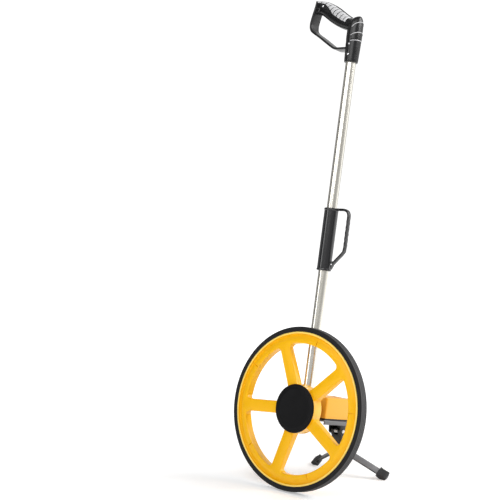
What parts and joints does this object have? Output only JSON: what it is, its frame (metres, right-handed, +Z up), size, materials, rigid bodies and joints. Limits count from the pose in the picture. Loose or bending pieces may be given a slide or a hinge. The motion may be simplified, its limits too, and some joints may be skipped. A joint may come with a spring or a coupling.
{
  "type": "measuring wheel",
  "caption": "Folding single-wheel distance measurer: spoked wheel geared to a drum counter, jointed pole with locking sleeve, pistol-grip handle and two-footed side stand.",
  "frame": {"origin": "on the floor, under the middle of the bounding box, with the wheel and both stand feet on the floor", "axes": "+X the way the wheel rolls; +Y level, from the wheel towards the counter and the stand; +Z up. The pole and the wheel's plane lean 11.5 degrees from +Z towards +Y"},
  "size_m": [0.318, 0.2408, 0.9589],
  "materials": {
    "yellow_plastic": "moulded, soft gloss",
    "black_plastic": "moulded, satin",
    "grey_rubber": "soft overmould",
    "tyre_rubber": "matt, finely grooved",
    "foot_rubber": "matt",
    "satin_tube": "satin anodised",
    "cast_aluminium": "as cast",
    "bright_steel": "zinc plated",
    "grey_steel": "grey coat",
    "black_steel": "black coat",
    "bronze": "sintered",
    "white_plastic": "moulded",
    "gear_plastic": "moulded acetal",
    "clear_plastic": "clear polished"
  },
  "bodies": {
    "frame": {"pole_foot": "cast_aluminium", "foot_rivet": "bright_steel", "lower_tube": "satin_tube", "lower_knuckle": "cast_aluminium", "fold_pin": "bright_steel", "bush_front": "bronze", "bush_back": "bronze", "counter_bracket": "grey_steel", "bracket_screw_left": "bright_steel", "bracket_screw_right": "bright_steel", "counter_case": "yellow_plastic", "counter_window": "clear_plastic", "counter_base": "black_plastic", "case_screw_1": "bright_steel", "case_screw_2": "bright_steel", "case_screw_3": "bright_steel", "case_screw_4": "bright_steel", "counter_frame": "bright_steel", "pinion_shaft": "bright_steel", "stand_yoke": "black_steel", "yoke_rivet_front": "bright_steel", "yoke_rivet_back": "bright_steel", "stand_pin": "bright_steel", "stand_spring": "bright_steel"},
    "road_wheel": {"tyre": "tyre_rubber", "wheel": "yellow_plastic", "hub_cap": "black_plastic", "axle": "bright_steel", "axle_washer": "bright_steel", "axle_nut": "bright_steel", "drive_gear": "gear_plastic"},
    "upper_pole": {"upper_knuckle": "cast_aluminium", "upper_tube": "satin_tube", "handle_shell_front": "black_plastic", "handle_shell_back": "black_plastic", "grip_pad": "grey_rubber", "hand_guard": "black_plastic", "handle_screw_lower": "bright_steel", "handle_screw_upper": "bright_steel", "grip_screw_inner": "bright_steel", "grip_screw_outer": "bright_steel"},
    "sleeve": {"lock_sleeve": "black_plastic", "sleeve_screw": "bright_steel"},
    "stand": {"stand_stem": "black_steel", "stand_legs": "grey_steel", "stand_bolt": "bright_steel", "boot_left": "foot_rubber", "boot_right": "foot_rubber"},
    "reset": {"reset_shaft": "bright_steel", "reset_knob": "black_plastic"},
    "tenths_drum": {"drum_1": "black_plastic", "units_gear": "gear_plastic"},
    "metres_drum": {"drum_2": "white_plastic"},
    "tens_drum": {"drum_3": "white_plastic"},
    "hundreds_drum": {"drum_4": "white_plastic"},
    "thousands_drum": {"drum_5": "white_plastic"},
    "pinion_1": {"transfer_pinion_1": "gear_plastic"},
    "pinion_2": {"transfer_pinion_2": "gear_plastic"},
    "pinion_3": {"transfer_pinion_3": "gear_plastic"},
    "pinion_4": {"transfer_pinion_4": "gear_plastic"}
  },
  "joints": [
    {"name": "wheel_spin", "type": "hinge", "parent": "frame", "child": "road_wheel", "pos_m": [0, -0.08036, 0.15729], "axis": [0, 0.9799, -0.1994], "continuous": true},
    {"name": "pole_fold", "type": "hinge", "parent": "frame", "child": "upper_pole", "pos_m": [-0.0075, 0.00027, 0.4307], "axis": [0, -0.9799, 0.1994], "range_deg": [0, 160]},
    {"name": "sleeve_slide", "type": "slide", "parent": "upper_pole", "child": "sleeve", "axis": [0, 0.1994, 0.9799], "range_m": [0, 0.0905]},
    {"name": "stand_fold", "type": "hinge", "parent": "frame", "child": "stand", "pos_m": [0, 0.04337, 0.09333], "axis": [-1, 0, 0], "range_deg": [0, 120]},
    {"name": "reset_turn", "type": "hinge", "parent": "frame", "child": "reset", "pos_m": [-0.008, 0.0108, 0.14894], "axis": [0, 0.9799, -0.1994], "continuous": true},
    {"name": "tenths_turn", "type": "hinge", "parent": "frame", "child": "tenths_drum", "pos_m": [-0.008, 0.0108, 0.14894], "axis": [0, 0.9799, -0.1994], "continuous": true},
    {"name": "metres_turn", "type": "hinge", "parent": "frame", "child": "metres_drum", "pos_m": [-0.008, 0.0108, 0.14894], "axis": [0, 0.9799, -0.1994], "continuous": true},
    {"name": "tens_turn", "type": "hinge", "parent": "frame", "child": "tens_drum", "pos_m": [-0.008, 0.0108, 0.14894], "axis": [0, 0.9799, -0.1994], "continuous": true},
    {"name": "hundreds_turn", "type": "hinge", "parent": "frame", "child": "hundreds_drum", "pos_m": [-0.008, 0.0108, 0.14894], "axis": [0, 0.9799, -0.1994], "continuous": true},
    {"name": "thousands_turn", "type": "hinge", "parent": "frame", "child": "thousands_drum", "pos_m": [-0.008, 0.0108, 0.14894], "axis": [0, 0.9799, -0.1994], "continuous": true},
    {"name": "pinion_1_turn", "type": "hinge", "parent": "frame", "child": "pinion_1", "pos_m": [0.0102, 0.0108, 0.14894], "axis": [0, 0.9799, -0.1994], "continuous": true},
    {"name": "pinion_2_turn", "type": "hinge", "parent": "frame", "child": "pinion_2", "pos_m": [0.0102, 0.0108, 0.14894], "axis": [0, 0.9799, -0.1994], "continuous": true},
    {"name": "pinion_3_turn", "type": "hinge", "parent": "frame", "child": "pinion_3", "pos_m": [0.0102, 0.0108, 0.14894], "axis": [0, 0.9799, -0.1994], "continuous": true},
    {"name": "pinion_4_turn", "type": "hinge", "parent": "frame", "child": "pinion_4", "pos_m": [0.0102, 0.0108, 0.14894], "axis": [0, 0.9799, -0.1994], "continuous": true}
  ],
  "couplings": [
    {"joint": "sleeve_slide", "follows": "pole_fold", "m_per_rad": 0.0322},
    {"joint": "tenths_turn", "follows": "wheel_spin", "ratio": -1},
    {"joint": "metres_turn", "follows": "wheel_spin", "ratio": -0.1},
    {"joint": "tens_turn", "follows": "wheel_spin", "ratio": -0.01},
    {"joint": "hundreds_turn", "follows": "wheel_spin", "ratio": -0.001},
    {"joint": "thousands_turn", "follows": "wheel_spin", "ratio": -0.0001},
    {"joint": "pinion_1_turn", "follows": "wheel_spin", "ratio": 0.25},
    {"joint": "pinion_2_turn", "follows": "wheel_spin", "ratio": 0.025},
    {"joint": "pinion_3_turn", "follows": "wheel_spin", "ratio": 0.0025},
    {"joint": "pinion_4_turn", "follows": "wheel_spin", "ratio": 0.00025}
  ]
}
